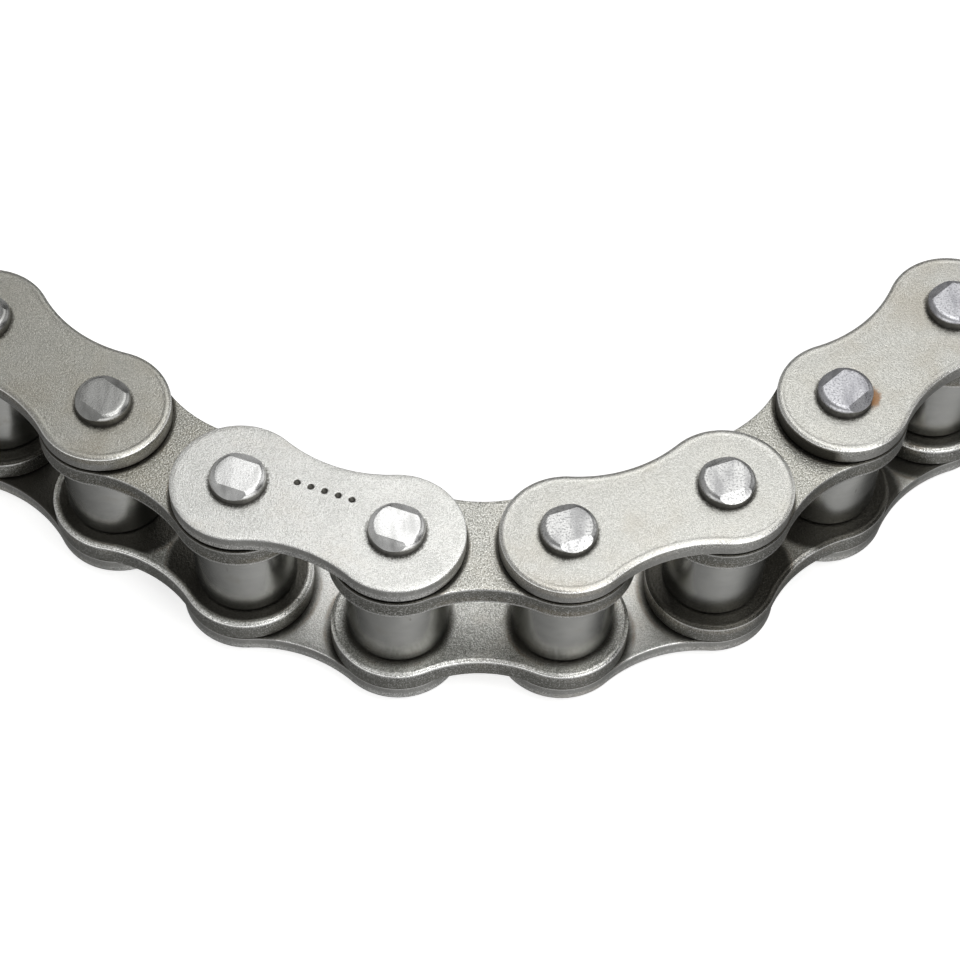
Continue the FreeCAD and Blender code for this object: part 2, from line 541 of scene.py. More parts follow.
@dataclass(frozen=True)
class GroundBushSteel(Finish):
    """Bush steel: ground and oiled, with fine lines around the bore and the end faces."""

    name: str = Slot.BUSH.value
    pale: Colour = (0.50, 0.495, 0.48)
    dark: Colour = (0.30, 0.295, 0.28)
    roughness: float = 0.3

    def inputs(self, graph: Graph) -> Dict[str, Any]:
        """Blends grinding lines and oily cloud.

        Args:
            graph: the material's graph.

        Returns:
            The shader's inputs.
        """
        lines = graph.grain(3000.0, 1.0, (0.05, 0.05, 1.0))
        cloud = graph.grain(500.0, 3.0)
        colour = graph.mix((lines * 0.4 + cloud * 0.6).band(0.35, 0.65), self.dark, self.pale)
        rough = self.roughness + (cloud - 0.5) * 0.2
        return {
            "Base Color": colour, "Metallic": 1.0, "Roughness": rough,
            "Normal": graph.bump(lines, 0.004 * MM),
        }


@dataclass(frozen=True)
class PaleFloor(Finish):
    """Smooth white board under the chain."""

    name: str = "pale_floor"
    tone: Colour = (0.88, 0.88, 0.875)
    glow: float = 0.60

    def inputs(self, graph: Graph) -> Dict[str, Any]:
        """Blends a very faint unevenness into the board's white.

        Args:
            graph: the material's graph.

        Returns:
            The shader's inputs.
        """
        cloud = graph.grain(12.0, 2.0)
        colour = graph.mix(cloud, self.tone, tuple(c * 0.985 for c in self.tone))
        return {
            "Base Color": colour, "Roughness": 0.9, "Specular IOR Level": 0.1,
            "Emission Color": (1.0, 1.0, 1.0), "Emission Strength": self.glow,
        }


# ---------------------------------------------------------------------------------------------
# Meshes
# ---------------------------------------------------------------------------------------------


def wavy(x: float, y: float, z: float, per_metre: float) -> float:
    """Smooth random value at a point, always the same for the same point.

    Args:
        x: place along x, in metres.
        y: place along y.
        z: place along z.
        per_metre: how many waves there are in a metre.

    Returns:
        A number from about -1 to 1.
    """
    return noise.noise(Vector((x, y, z)) * per_metre)


def new_piece(name: str, bm: bmesh.types.BMesh, sharp_angle: float) -> bpy.types.Object:
    """Turns a bmesh into a smooth-shaded object.

    Args:
        name: the object's name.
        bm: the mesh, which is freed.
        sharp_angle: edges that turn by more than this, in degrees, stay sharp.

    Returns:
        The object, linked to the scene.
    """
    bmesh.ops.recalc_face_normals(bm, faces=bm.faces)
    mesh = bpy.data.meshes.new(name)
    bm.to_mesh(mesh)
    bm.free()
    mesh.shade_smooth()
    mesh.set_sharp_from_angle(angle=math.radians(sharp_angle))
    piece = bpy.data.objects.new(name, mesh)
    bpy.context.scene.collection.objects.link(piece)
    return piece


def store(mesh: bpy.types.Mesh, name: str, values: Iterable[float]) -> None:
    """Stores one number for each vertex, for the finishes to read.

    Args:
        mesh: the mesh.
        name: the attribute's name.
        values: a number for each vertex, in order.
    """
    layer = mesh.attributes.new(name, "FLOAT", "POINT")
    layer.data.foreach_set("value", np.fromiter(values, np.float32, len(mesh.vertices)))


def turned(profile: Sequence[Point2], segments: int, closed: bool) -> bmesh.types.BMesh:
    """Turns an outline about the z axis.

    Args:
        profile: radius and height of each point. An open profile starts and ends on the axis.
        segments: how many steps there are round the axis.
        closed: whether the outline is a closed loop, as on a tube.

    Returns:
        The turned mesh.
    """
    bm = bmesh.new()
    rings: List[List[bmesh.types.BMVert]] = []
    for radius, height in profile:
        if radius < 1e-9:
            rings.append([bm.verts.new((0.0, 0.0, height))])
            continue
        turns = (2 * math.pi * n / segments for n in range(segments))
        around = ((radius * math.cos(a), radius * math.sin(a), height) for a in turns)
        rings.append([bm.verts.new(at) for at in around])
    pairs = list(zip(rings, rings[1:]))
    if closed:
        pairs.append((rings[-1], rings[0]))
    for lower, upper in pairs:
        for n in range(segments):
            walk = ((lower, n), (lower, n + 1), (upper, n + 1), (upper, n))
            corners = [ring[k % len(ring)] for ring, k in walk]
            bm.faces.new(list(dict.fromkeys(corners)))
    return bm


def quarter(centre: Point2, reach: Point2, steps: int) -> List[Point2]:
    """Quarter ellipse from beside its centre to above it.

    Args:
        centre: radius and height of the ellipse's centre.
        reach: its half-sizes along radius and height. A negative one points the other way.
        steps: number of steps.

    Returns:
        Points from (centre + reach along radius) to (centre + reach along height).
    """
    angles = (0.5 * math.pi * n / steps for n in range(steps + 1))
    (across, up), (wide, high) = centre, reach
    return [(across + wide * math.cos(a), up + high * math.sin(a)) for a in angles]


@dataclass
class Piece:
    """One solid piece of the chain: the CAD node it stands for and where it goes."""

    node: str
    body: str
    origin: Vector
    heading: float

    def shape(self) -> bpy.types.Object:
        """Makes the piece about its own origin, as a new object."""
        raise NotImplementedError

    def build(self, material: bpy.types.Material, slot: Slot) -> bpy.types.Object:
        """Makes the piece, moves it to its place, dresses it and hands it to its body.

        Args:
            material: its finish.
            slot: the record's material slot; not used.

        Returns:
            The piece.
        """
        piece = self.shape()
        turn = Matrix.Rotation(self.heading, 4, "Z")
        piece.data.transform(Matrix.Translation(self.origin) @ turn)
        piece.data.materials.append(material)
        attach(piece, self.body)
        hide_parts(self.node)
        LOG.info("%s: %d faces on %s", piece.name, len(piece.data.polygons), self.body)
        return piece


@dataclass
class SidePlate(Piece):
    """A waisted side plate, punched from strip, with a hole on each of its two pivots.

    The punch draws in a broad round edge on the face it enters by, which is the rolled one, and
    tears the far part of the side. The inward face is the one towards the middle of the chain's
    width. A free end is the x of a pivot that no other link covers, so the outward face stays
    free of the oil film and its painted shade there.
    """

    pitch: float
    end_radius: float
    waist: float
    thickness: float
    hole_radius: float
    head_radius: float
    rolled: Side
    inward: Side
    # How much further the oil film, with its painted shade, reaches on a lower plate.
    oil_spread: float = 0.0
    free_end: Optional[float] = None
    wiped: bool = True
    mark: Mark = Mark.NONE
    # Tarnish, and painted shade after how the light falls along the chain, as one darkening of the
    # whole plate.
    tarnish: float = 0.0
    rust_toward: Optional[float] = None
    rust_gap: float = 0.7
    rust_reach: float = 0.75 * MM
    rust_spread: float = math.radians(26.0)
    oiled_side: Tuple[float, float] = (0.0, 0.0)
    oil_fade: float = math.radians(12.0)
    oil_start: float = 0.1
    oil_full: float = 0.3
    rolled_width: float = 1.3 * MM
    rolled_depth: float = 0.20 * MM
    roll_power: float = 4.5
    corner: float = 0.18 * MM
    # Share of the corner that carries the painted edge highlight.
    side_share: float = 0.02
    edge_highlight_share: float = 0.6
    rippled_share: float = 0.9
    tear: float = 0.035 * MM
    tear_ripple: float = 0.03 * MM
    tear_wander: float = 0.25 * MM
    tear_start: float = 0.42
    tear_fade: float = 0.12
    side_ripple: float = 0.022 * MM
    fall: float = 0.035 * MM
    fall_width: float = 1.3 * MM
    sag: float = 0.010 * MM
    waves: Tuple[float, float] = (900.0, 2600.0)
    tear_waves: float = 700.0
    face_waves: float = 160.0
    mid_steps: int = 14
    waist_steps: int = 30
    end_steps: int = 88
    side_steps: int = 8
    face_steps: Tuple[float, ...] = (0.0, 0.07, 0.16, 0.28, 0.42, 0.57, 0.72, 0.86, 1.0)
    roll_steps: Tuple[float, ...] = (0.0, 0.18, 0.34, 0.48, 0.6, 0.7, 0.8, 0.9, 1.0)
    dot_count: int = 5
    dot_spacing: float = 2.2 * MM
    dot_radius: float = 0.52 * MM
    dot_depth: float = 0.20 * MM
    dot_row: float = 3.0 * MM
    dot_patch: float = 2.6
    dot_wall: float = 1 / 3
    face_level: float = 1e-5
    sharp_angle: float = 38.0

    @property
    def hollow(self) -> float:
        """Radius of the hollow arc that joins the two round ends."""
        half = self.pitch / 2
        return (half**2 + self.waist**2 - self.end_radius**2) / (2 * (self.end_radius - self.waist))

    def outline(self) -> List[Tuple[Vector, Vector]]:
        """Half of the outline, from the upper middle round the first pivot to the lower middle.

        Returns:
            Each point with its outward direction.
        """
        centre = Vector((self.pitch / 2, self.waist + self.hollow))
        touch = math.atan2(centre.y, centre.x)
        start = 1.5 * math.pi
        stop = touch + math.pi
        upper = []
        for n in range(self.waist_steps):
            a = start + (stop - start) * n / self.waist_steps
            spoke = Vector((math.cos(a), math.sin(a)))
            upper.append((centre + spoke * self.hollow, -spoke))
        end = []
        for n in range(self.end_steps + 1):
            a = touch + (2 * math.pi - 2 * touch) * n / self.end_steps
            spoke = Vector((math.cos(a), math.sin(a)))
            end.append((spoke * self.end_radius, spoke))
        flip = [(Vector((p.x, -p.y)), Vector((d.x, -d.y))) for p, d in reversed(upper)]
        return upper + end + flip

    def edge_profile(self) -> Tuple[List[Point2], List[Point2]]:
        """Shape of the upper and lower edges: one drawn in by the punch, one cut off crisply.

        Returns:
            For each edge, (inset, drop from the face) from the face to the side.
        """
        turns = [math.radians(a) for a in (0.0, 30.0, 60.0, 90.0)]
        crisp = [(self.corner * (1 - math.sin(a)), self.corner * (1 - math.cos(a))) for a in turns]
        width = self.rolled_width - self.corner
        depth = self.rolled_depth
        broad = [(self.rolled_width - width * s, depth * s**self.roll_power) for s in self.roll_steps]
        broad += [(inset, depth + drop) for inset, drop in crisp[1:]]
        return (broad, crisp) if self.rolled is Side.UPPER else (crisp, broad)

    def half_plate(self, bm: bmesh.types.BMesh, mirrored: bool) -> None:
        """Adds the half of the plate around one pivot.

        Args:
            bm: the mesh to add to.
            mirrored: whether it is the half around the second pivot.
        """
        upper, lower = self.edge_profile()
        outline = self.outline()
        top, low = self.thickness, 0.0
        reach = [self.waist - upper[0][0], self.waist - lower[0][0]]
        spokes: List[Dict[str, Any]] = []
        for n in range(1, self.mid_steps):
            share = 2.0 * n / self.mid_steps - 1
            spokes.append({"faces": [Vector((self.pitch / 2, r * share)) for r in reach], "edge": None})
        for point, outward in outline:
            inset = [point - outward * upper[0][0], point - outward * lower[0][0]]
            spokes.append({"faces": inset, "edge": (point, outward)})
        columns: List[List[Optional[bmesh.types.BMVert]]] = []
        for spoke in spokes:
            column: List[Optional[bmesh.types.BMVert]] = []
            faces = spoke["faces"]
            for side, height, order in ((0, top, 1), (1, low, -1)):
                aim = math.atan2(faces[side].y, faces[side].x)
                hole = Vector((math.cos(aim), math.sin(aim))) * self.hole_radius
                steps = self.face_steps[::order]
                line = (hole.lerp(faces[side], share) for share in steps)
                column += [self.vertex(bm, at, height, mirrored) for at in line]
                if side == 0:
                    column += self.side_column(bm, spoke["edge"], upper, lower, mirrored)
            columns.append(column)
        size = len(columns[0])
        count = len(columns)
        for n in range(count):
            left, right = columns[n], columns[(n + 1) % count]
            for k in range(size):
                corners = [left[k], right[k], right[(k + 1) % size], left[(k + 1) % size]]
                if all(corners):
                    bm.faces.new(corners[::-1] if mirrored else corners)

    def vertex(
        self, bm: bmesh.types.BMesh, at: Vector, height: float, mirrored: bool
    ) -> bmesh.types.BMVert:
        """Adds one vertex, mirrored to the second pivot if asked.

        Args:
            bm: the mesh to add to.
            at: place in the plate's plane, from the first pivot.
            height: height above the plate's lower face.
            mirrored: whether it goes to the other half.

        Returns:
            The vertex.
        """
        return bm.verts.new((self.pitch - at.x if mirrored else at.x, at.y, height))

    def side_column(
        self, bm: bmesh.types.BMesh, edge: Optional[Tuple[Vector, Vector]],
        upper: List[Point2], lower: List[Point2], mirrored: bool,
    ) -> List[Optional[bmesh.types.BMVert]]:
        """Adds the vertices down the plate's side at one point of the outline.

        Args:
            bm: the mesh to add to.
            edge: the outline's point and outward direction, or None inside the plate.
            upper: the upper edge's profile.
            lower: the lower edge's profile.
            mirrored: whether it goes to the other half.

        Returns:
            The vertices from top to bottom, or as many blanks.
        """
        levels = [(inset, self.thickness - drop) for inset, drop in upper[1:]]
        first, last = self.thickness - upper[-1][1], lower[-1][1]
        step = (last - first) / self.side_steps
        levels += [(0.0, first + step * n) for n in range(1, self.side_steps)]
        levels += [(inset, drop) for inset, drop in lower[:0:-1]]
        if edge is None:
            return [None] * len(levels)
        point, outward = edge
        return [self.vertex(bm, point - outward * inset, height, mirrored) for inset, height in levels]

    def distance_in(self, x: float, y: float) -> float:
        """How far inside the outline a point is.

        Args:
            x: place along the plate.
            y: place across it.

        Returns:
            The distance to the outline, in metres.
        """
        near_x = min(x, self.pitch - x)
        centre = Vector((self.pitch / 2, self.waist + self.hollow))
        if abs(y) * centre.x < centre.y * near_x:
            return math.hypot(near_x - centre.x, centre.y - abs(y)) - self.hollow
        return self.end_radius - math.hypot(near_x, y)

    def torn_depth(self, height: float) -> float:
        """How torn the sheared side is at a height.

        Args:
            height: height above the plate's lower face.

        Returns:
            A number from 0, where it is cut clean, to 1.
        """
        down = self.thickness - height if self.rolled is Side.UPPER else height
        return min(max((down / self.thickness - self.tear_start) / self.tear_fade, 0.0), 1.0)

    def from_rolled(self, height: float) -> float:
        """Distance of a height from the face with the rolled edge."""
        return abs(height - (self.thickness if self.rolled is Side.UPPER else 0.0))

    def weather(self, bm: bmesh.types.BMesh, shift: Vector) -> Dict[str, List[float]]:
        """Works the plate's surface: uneven faces, a soft fall towards the rolled edge, a torn side.

        Args:
            bm: the plate's mesh, in its own coordinates.
            shift: where the plate is, so that no two plates are alike.

        Returns:
            The masks for the finish, by name.
        """
        masks: Dict[str, List[float]] = {}
        moves: List[Vector] = []
        coarse, fine = self.waves
        for vert in bm.verts:
            x, y, z = vert.co
            p = vert.co + shift
            inside = self.distance_in(x, y)
            on_side = inside < self.side_share * self.corner
            torn = 0.0
            if on_side:
                torn = self.torn_depth(z + self.tear_wander * wavy(p.x, p.y, 0.0, self.tear_waves))
            inward = (Vector((min(max(x, 0.0), self.pitch), 0.0, z)) - vert.co).normalized()
            ripple = wavy(p.x, p.y, p.z, coarse) * 0.6 + wavy(p.x, p.y, p.z, fine) * 0.4
            move = Vector((0.0, 0.0, 0.0))
            if torn > 0:
                move += inward * (self.tear + self.tear_ripple * ripple) * torn
            elif inside < self.rippled_share * self.corner:
                move += inward * self.side_ripple * (0.5 + 0.5 * ripple)
            if self.from_rolled(z) < 1e-6:
                near_edge = math.exp(-(((inside - self.rolled_width) / self.fall_width) ** 2))
                sag = self.sag * (1 + wavy(p.x, p.y, p.z, self.face_waves))
                move.z -= (self.fall * near_edge + sag) * self.rolled.value
            moves.append(move)
            for name, value in self.masks_at(vert.co, inside, on_side, torn).items():
                masks.setdefault(name, []).append(value)
        for vert, move in zip(bm.verts, moves):
            vert.co += move
        return masks

    def masks_at(self, at: Vector, inside: float, on_side: bool, torn: float) -> Dict[str, float]:
        """Works out what the finish has to know about one point of the plate.

        Args:
            at: the point, in the plate's own coordinates.
            inside: how far inside the outline it is.
            on_side: whether it is on the upright side.
            torn: how torn the side is there.

        Returns:
            The value of each mask, by name.
        """
        x, y, z = at
        pin = min(math.hypot(x, y), math.hypot(self.pitch - x, y))
        from_rolled = self.from_rolled(z)
        in_roll = from_rolled < self.rolled_depth + self.corner
        in_corner = in_roll or self.thickness - from_rolled < self.corner
        upper = z > self.thickness / 2
        inward = upper == (self.inward is Side.UPPER)
        bare = self.free_end is not None and abs(x - self.free_end) < self.pitch / 2 and not inward
        oil = self.side_oil(x, y, z) if inside < self.corner else 0.0
        # The dots are filled dark: oil in their hollows, and painted shade inside them.
        if upper and self.mark is Mark.DOTS and self.in_dot(x, y) < 1.0:
            oil = 1.0
        # edge and roll carry the painted highlight on corners and rolled edges.
        return {
            "edge": float(in_corner and inside < self.edge_highlight_share * self.corner),
            "roll": min(from_rolled / self.rolled_depth, 1.0) ** 0.6 if in_roll else 0.0,
            "torn": torn,
            "side": float(on_side),
            "rim": inside if self.wiped else self.pitch,
            "pin_gap": max((pin - self.head_radius) / MM, 0.0),
            "reach": self.pitch if bare else pin - self.oil_spread,
            "inward": float(inward),
            "oil": oil,
            "rust": self.rust(x, y) if upper else 0.0,
            "tarnish": self.tarnish,
        }

    def side_oil(self, x: float, y: float, z: float) -> float:
        """How much oil runs down the plate's side at a point.

        Args:
            x: place along the plate.
            y: place across it.
            z: height above its lower face.

        Returns:
            A number from 0 to 1.
        """
        start, stop = self.oiled_side
        bearing = math.atan2(y, x) % (2 * math.pi)
        ends = min(bearing - start, stop - bearing) / self.oil_fade
        down = (self.thickness - z) / self.thickness
        run = (down - self.oil_start) / (self.oil_full - self.oil_start)
        return min(max(ends, 0.0), 1.0) * min(max(run, 0.0), 1.0)

    def rust(self, x: float, y: float) -> float:
        """How rusty the face is beside the first pin's head.

        Args:
            x: place along the plate.
            y: place across it.

        Returns:
            A number from 0 to 1.
        """
        if self.rust_toward is None:
            return 0.0
        away = (math.hypot(x, y) - self.head_radius) / self.rust_reach - self.rust_gap
        turn = math.remainder(math.atan2(y, x) - self.rust_toward, 2 * math.pi) / self.rust_spread
        return math.exp(-(away**2) - turn**2)

    def in_dot(self, x: float, y: float) -> float:
        """Distance from the nearest dot's centre, as a share of a dot's radius."""
        return min(math.hypot(x - d.x, y - d.y) for d in self.dots()) / self.dot_radius

    def dots(self) -> List[Vector]:
        """Centres of the punched dots, in the plate's plane."""
        first = self.pitch / 2 - (self.dot_count - 1) / 2 * self.dot_spacing
        return [Vector((first + n * self.dot_spacing, self.dot_row)) for n in range(self.dot_count)]

    def punch(self, bm: bmesh.types.BMesh) -> None:
        """Sinks the dots into the upper face, on a finer grid of faces around each.

        Args:
            bm: the plate's mesh, in its own coordinates.
        """
        dots = self.dots()
        reach = self.dot_patch * self.dot_radius
        for _ in range(2):
            edges = set()
            for face in bm.faces:
                middle = face.calc_center_median()
                if middle.z < self.thickness - self.face_level:
                    continue
                if any(math.hypot(middle.x - d.x, middle.y - d.y) < reach for d in dots):
                    edges.update(face.edges)
            bmesh.ops.subdivide_edges(bm, edges=list(edges), cuts=2, use_grid_fill=True)
        for vert in bm.verts:
            away = self.in_dot(vert.co.x, vert.co.y)
            if vert.co.z > self.thickness - self.face_level and away < 1.0:
                vert.co.z -= self.dot_depth * min(1.0, (1 - away) / self.dot_wall)

    def shape(self) -> bpy.types.Object:
        """Makes the plate, with its dots if it has them and its masks for the finish.

        Returns:
            The plate, about its first pivot.
        """
        bm = bmesh.new()
        for mirrored in (False, True):
            self.half_plate(bm, mirrored)
        bmesh.ops.remove_doubles(bm, verts=bm.verts, dist=1e-7)
        if self.mark is Mark.DOTS:
            self.punch(bm)
        masks = self.weather(bm, self.origin * 3.0)
        piece = new_piece(self.node + "_steel", bm, self.sharp_angle)
        for name, values in masks.items():
            store(piece.data, name, values)
        return piece


@dataclass
class Tube(Piece):
    """A turned sleeve, for a roller or a bush, centred on its middle height."""

    radius: float
    bore: float
    length: float
    outer_edge: float
    bore_edge: float
    edge_steps: int = 6
    segments: int = 128
    sharp_angle: float = 40.0

    def profile(self) -> List[Point2]:
        """Closed outline of the sleeve's wall, with rounded outer edges and a chamfered bore.

        Returns:
            Radius and height of each point.
        """
        half = self.length / 2
        out = self.radius - self.outer_edge
        rise = half - self.outer_edge
        corner = quarter((out, rise), (self.outer_edge, self.outer_edge), self.edge_steps)
        upper = corner + [(self.bore + self.bore_edge, half), (self.bore, half - self.bore_edge)]
        return [(r, -z) for r, z in reversed(upper)] + upper

    def shape(self) -> bpy.types.Object:
        """Turns the sleeve about its axis."""
        bm = turned(self.profile(), self.segments, True)
        return new_piece(self.node + "_sleeve", bm, self.sharp_angle)


@dataclass
class RivetedPin(Piece):
    """A pin whose ends are spun over into heads, each with two sloped flats along the link."""

    radius: float
    head_radius: float
    length: float
    plate_back: float
    round_width: float = 1.0 * MM
    round_height: float = 0.7 * MM
    flat_start: float = 2.6 * MM
    flat_slope: float = math.radians(30.0)
    end_steps: int = 5
    round_steps: int = 10
    segments: int = 144
    sharp_angle: float = 24.0
    level_from: float = 0.55

    def profile(self) -> List[Point2]:
        """Open outline from the middle of the upper end to the middle of the lower end.

        Returns:
            Radius and height of each point.
        """
        end = self.length / 2
        top = self.head_radius - self.round_width
        bow = math.hypot(self.round_width, self.round_height) ** 2 / (2 * self.round_height)
        sweep = math.asin(self.round_width / bow)
        upper = [(top * n / self.end_steps, end) for n in range(self.end_steps)]
        arc = (sweep * n / self.round_steps for n in range(self.round_steps + 1))
        upper += [(top + bow * math.sin(a), end - bow * (1 - math.cos(a))) for a in arc]
        shoulder = end - self.round_height
        drop = self.plate_back - shoulder
        upper += [(self.head_radius, shoulder + drop * share) for share in (0.1, 0.5, 0.97)]
        upper += [(self.head_radius - 0.03 * MM, self.plate_back), (self.radius, self.plate_back)]
        return upper + [(r, -z) for r, z in reversed(upper)]

    def cut_flats(self, bm: bmesh.types.BMesh) -> None:
        """Cuts the two sloped flats on each head.

        Args:
            bm: the turned pin.
        """
        end = self.length / 2
        for up in (1, -1):
            for side in (1, -1):
                normal = Vector((0.0, side * math.sin(self.flat_slope), up * math.cos(self.flat_slope)))
                at = Vector((0.0, side * self.flat_start, up * end))
                everything = bm.verts[:] + bm.edges[:] + bm.faces[:]
                cut = bmesh.ops.bisect_plane(
                    bm, geom=everything, plane_co=at, plane_no=normal, clear_outer=True
                )
                rim = [g for g in cut["geom_cut"] if isinstance(g, bmesh.types.BMEdge)]
                bmesh.ops.edgeloop_fill(bm, edges=rim)

    def mark_side(self, mesh: bpy.types.Mesh) -> None:
        """Stores how far down the head's upright side each face corner is, from 0 to 1.

        Args:
            mesh: the pin's mesh, in its own coordinates.
        """
        rise = self.length / 2 - self.plate_back
        layer = mesh.attributes.new("side", "FLOAT", "CORNER")
        for face in mesh.polygons:
            if abs(face.normal.z) > self.level_from:
                continue
            for corner in face.loop_indices:
                below = self.length / 2 - abs(mesh.vertices[mesh.loops[corner].vertex_index].co.z)
                layer.data[corner].value = min(below / rise, 1.0)

    def shape(self) -> bpy.types.Object:
        """Turns the pin, cuts the flats on its heads and marks their sides.

        Returns:
            The pin, about its middle.
        """
        bm = turned(self.profile(), self.segments, False)
        self.cut_flats(bm)
        piece = new_piece(self.node + "_riveted", bm, self.sharp_angle)
        self.mark_side(piece.data)
        return piece


# ---------------------------------------------------------------------------------------------
# Links
# ---------------------------------------------------------------------------------------------


@dataclass
class Layout:
    """Sizes and places that the links share, read from the frame.

    Only the waist, which is half of a plate's depth at its middle, is set here.
    """

    pivots: List[Tuple[str, Vector]]
    inner_radius: float
    outer_radius: float
    roller_radius: float
    roller_length: float
    bush_radius: float
    bush_length: float
    pin_length: float
    pin_radius: float
    head_radius: float
    bush_bore: float
    waist: float = 7.8 * MM

    @property
    def pitch(self) -> float:
        """Distance between neighbouring pivots."""
        return (self.pivots[1][1] - self.pivots[0][1]).length

    def heading(self, index: int) -> float:
        """Direction of a link, in radians from +X, by its number along the chain."""
        along = self.pivots[index + 1][1] - self.pivots[index][1]
        return math.atan2(along.y, along.x)

    @classmethod
    def from_frame(cls, record: Dict[str, Any]) -> "Layout":
        """Reads the sizes from the frame's boxes and its record.

        Args:
            record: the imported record.

        Returns:
            The layout.
        """
        spins = [j for j in record["behaviour"]["joints"] if j.get("continuous")]
        pivots = sorted(
            ((j["child"].removeprefix("roller_"), Vector(j["pos_m"])) for j in spins),
            key=lambda pivot: pivot[1].x,
        )
        inner_run, outer_run = (abs((pivots[n + 1][1] - pivots[n][1]).x) for n in range(2))
        bush_bore = next(m for m in record["mounts"] if m["kind"] == "bore")["dims"]["r_mm"] * MM
        pin_radius = bush_bore - PIN_CLEARANCE
        return cls(
            pivots=pivots,
            inner_radius=(cls._size("inner_link_1_top_plate").x - inner_run) / 2,
            outer_radius=(cls._size("outer_link_1_top_plate").x - outer_run) / 2,
            roller_radius=cls._size("roller_1").x / 2,
            roller_length=cls._size("roller_1").z,
            bush_radius=cls._size("bush_1").x / 2,
            bush_length=cls._size("bush_1").z,
            pin_length=cls._size("pin_1").z,
            pin_radius=pin_radius,
            head_radius=pin_radius + HEAD_SWELL,
            bush_bore=bush_bore,
        )

    @staticmethod
    def _size(node: str) -> Vector:
        """Size of a CAD node's box."""
        low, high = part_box(node)
        return high - low


@dataclass
class Link:
    """What an inner and an outer link have in common: two plates and what joins them.

    Its darkening, from 0 to 1, is that of the upper plate: tarnish, and painted shade after how the
    light falls along the chain.
    The lower plate gets a share of it. The oil and shade spread is how much further the oil film,
    with its painted shade, reaches on the lower plate.
    """

    layout: Layout
    index: int
    number: int
    tarnish: float
    oil_spread: float
    lower_plate_share: float = 0.4

    @property
    def pair(self) -> List[Tuple[str, Vector]]:
        """The link's two pivots, with their names."""
        return self.layout.pivots[self.index : self.index + 2]

    def plate(
        self, node: str, body: str, radius: float, hole: float, rolled: Side, **more: Any
    ) -> SidePlate:
        """Sets up one of the link's plates at the height that the frame gives.

        Args:
            node: the plate's CAD node.
            body: the link's body.
            radius: radius of the plate's round ends.
            hole: radius of its holes.
            rolled: which face has the rolled edge.
            more: further fields of the plate.

        Returns:
            The plate, not yet built.
        """
        low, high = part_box(node)
        start = self.pair[0][1]
        return SidePlate(
            node=node, body=body, origin=Vector((start.x, start.y, low.z)),
            heading=self.layout.heading(self.index), pitch=self.layout.pitch, end_radius=radius,
            waist=self.layout.waist, thickness=high.z - low.z, hole_radius=hole,
            head_radius=self.layout.head_radius, rolled=rolled, **more,
        )


@dataclass
class InnerLink(Link):
    """Two thick plates pressed on two bushes, with a loose roller on each bush."""

    wiped: bool = True
    rolled_width: float = 1.2 * MM
    rolled_depth: float = 0.30 * MM

    def build(self, finishes: Dict[Slot, bpy.types.Material]) -> None:
        """Builds the link's plates, bushes and rollers.

        Args:
            finishes: the materials, by slot.
        """
        body = "inner_link_%d" % self.number
        sizes = self.layout
        free_end = {0: 0.0, len(sizes.pivots) - 2: sizes.pitch}.get(self.index)
        common = {
            "free_end": free_end, "wiped": self.wiped,
            "rolled_width": self.rolled_width, "rolled_depth": self.rolled_depth,
        }
        radii = (sizes.inner_radius, sizes.bush_radius)
        plates = (
            self.plate(
                body + "_top_plate", body, *radii, Side.LOWER, inward=Side.LOWER,
                tarnish=self.tarnish, **common,
            ),
            self.plate(
                body + "_bottom_plate", body, *radii, Side.UPPER, inward=Side.UPPER,
                tarnish=self.lower_plate_share * self.tarnish, oil_spread=self.oil_spread, **common,
            ),
        )
        for plate in plates:
            plate.build(finishes[Slot.INNER_PLATE], Slot.INNER_PLATE)
        heading = sizes.heading(self.index)
        for name, place in self.pair:
            Tube(
                node="bush_" + name, body=body, origin=place, heading=heading,
                radius=sizes.bush_radius, bore=sizes.bush_bore,
                length=sizes.bush_length, outer_edge=0.3 * MM, bore_edge=0.25 * MM,
            ).build(finishes[Slot.BUSH], Slot.BUSH)
            Tube(
                node="roller_" + name, body="roller_" + name, origin=place, heading=heading,
                radius=sizes.roller_radius, bore=sizes.bush_radius + ROLLER_CLEARANCE,
                length=sizes.roller_length, outer_edge=0.5 * MM, bore_edge=0.3 * MM, segments=160,
            ).build(finishes[Slot.ROLLER], Slot.ROLLER)


@dataclass
class OuterLink(Link):
    """Two thinner plates riveted on two pins."""

    mark: Mark = Mark.NONE
    rust_toward: Optional[float] = None
    oiled_side: Tuple[float, float] = (0.0, 0.0)
    pin_finish: Optional[bpy.types.Material] = None

    def build(self, finishes: Dict[Slot, bpy.types.Material]) -> None:
        """Builds the link's plates and pins.

        Args:
            finishes: the materials, by slot.
        """
        body = "outer_link_%d" % self.number
        sizes = self.layout
        radii = (sizes.outer_radius, sizes.pin_radius)
        upper_roll = Side.LOWER if self.mark is Mark.DOTS else Side.UPPER
        plates = (
            self.plate(
                body + "_top_plate", body, *radii, upper_roll, inward=Side.LOWER, tarnish=self.tarnish,
                mark=self.mark, rust_toward=self.rust_toward, oiled_side=self.oiled_side,
            ),
            self.plate(
                body + "_bottom_plate", body, *radii, Side.LOWER, inward=Side.UPPER,
                tarnish=self.lower_plate_share * self.tarnish, oil_spread=self.oil_spread,
            ),
        )
        for plate in plates:
            plate.build(finishes[Slot.OUTER_PLATE], Slot.OUTER_PLATE)
        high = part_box(body + "_top_plate")[1]
        for name, place in self.pair:
            RivetedPin(
                node="pin_" + name, body=body, origin=place, heading=sizes.heading(self.index),
                radius=sizes.pin_radius, head_radius=sizes.head_radius, length=sizes.pin_length,
                plate_back=high.z - place.z,
            ).build(self.pin_finish, Slot.PIN)


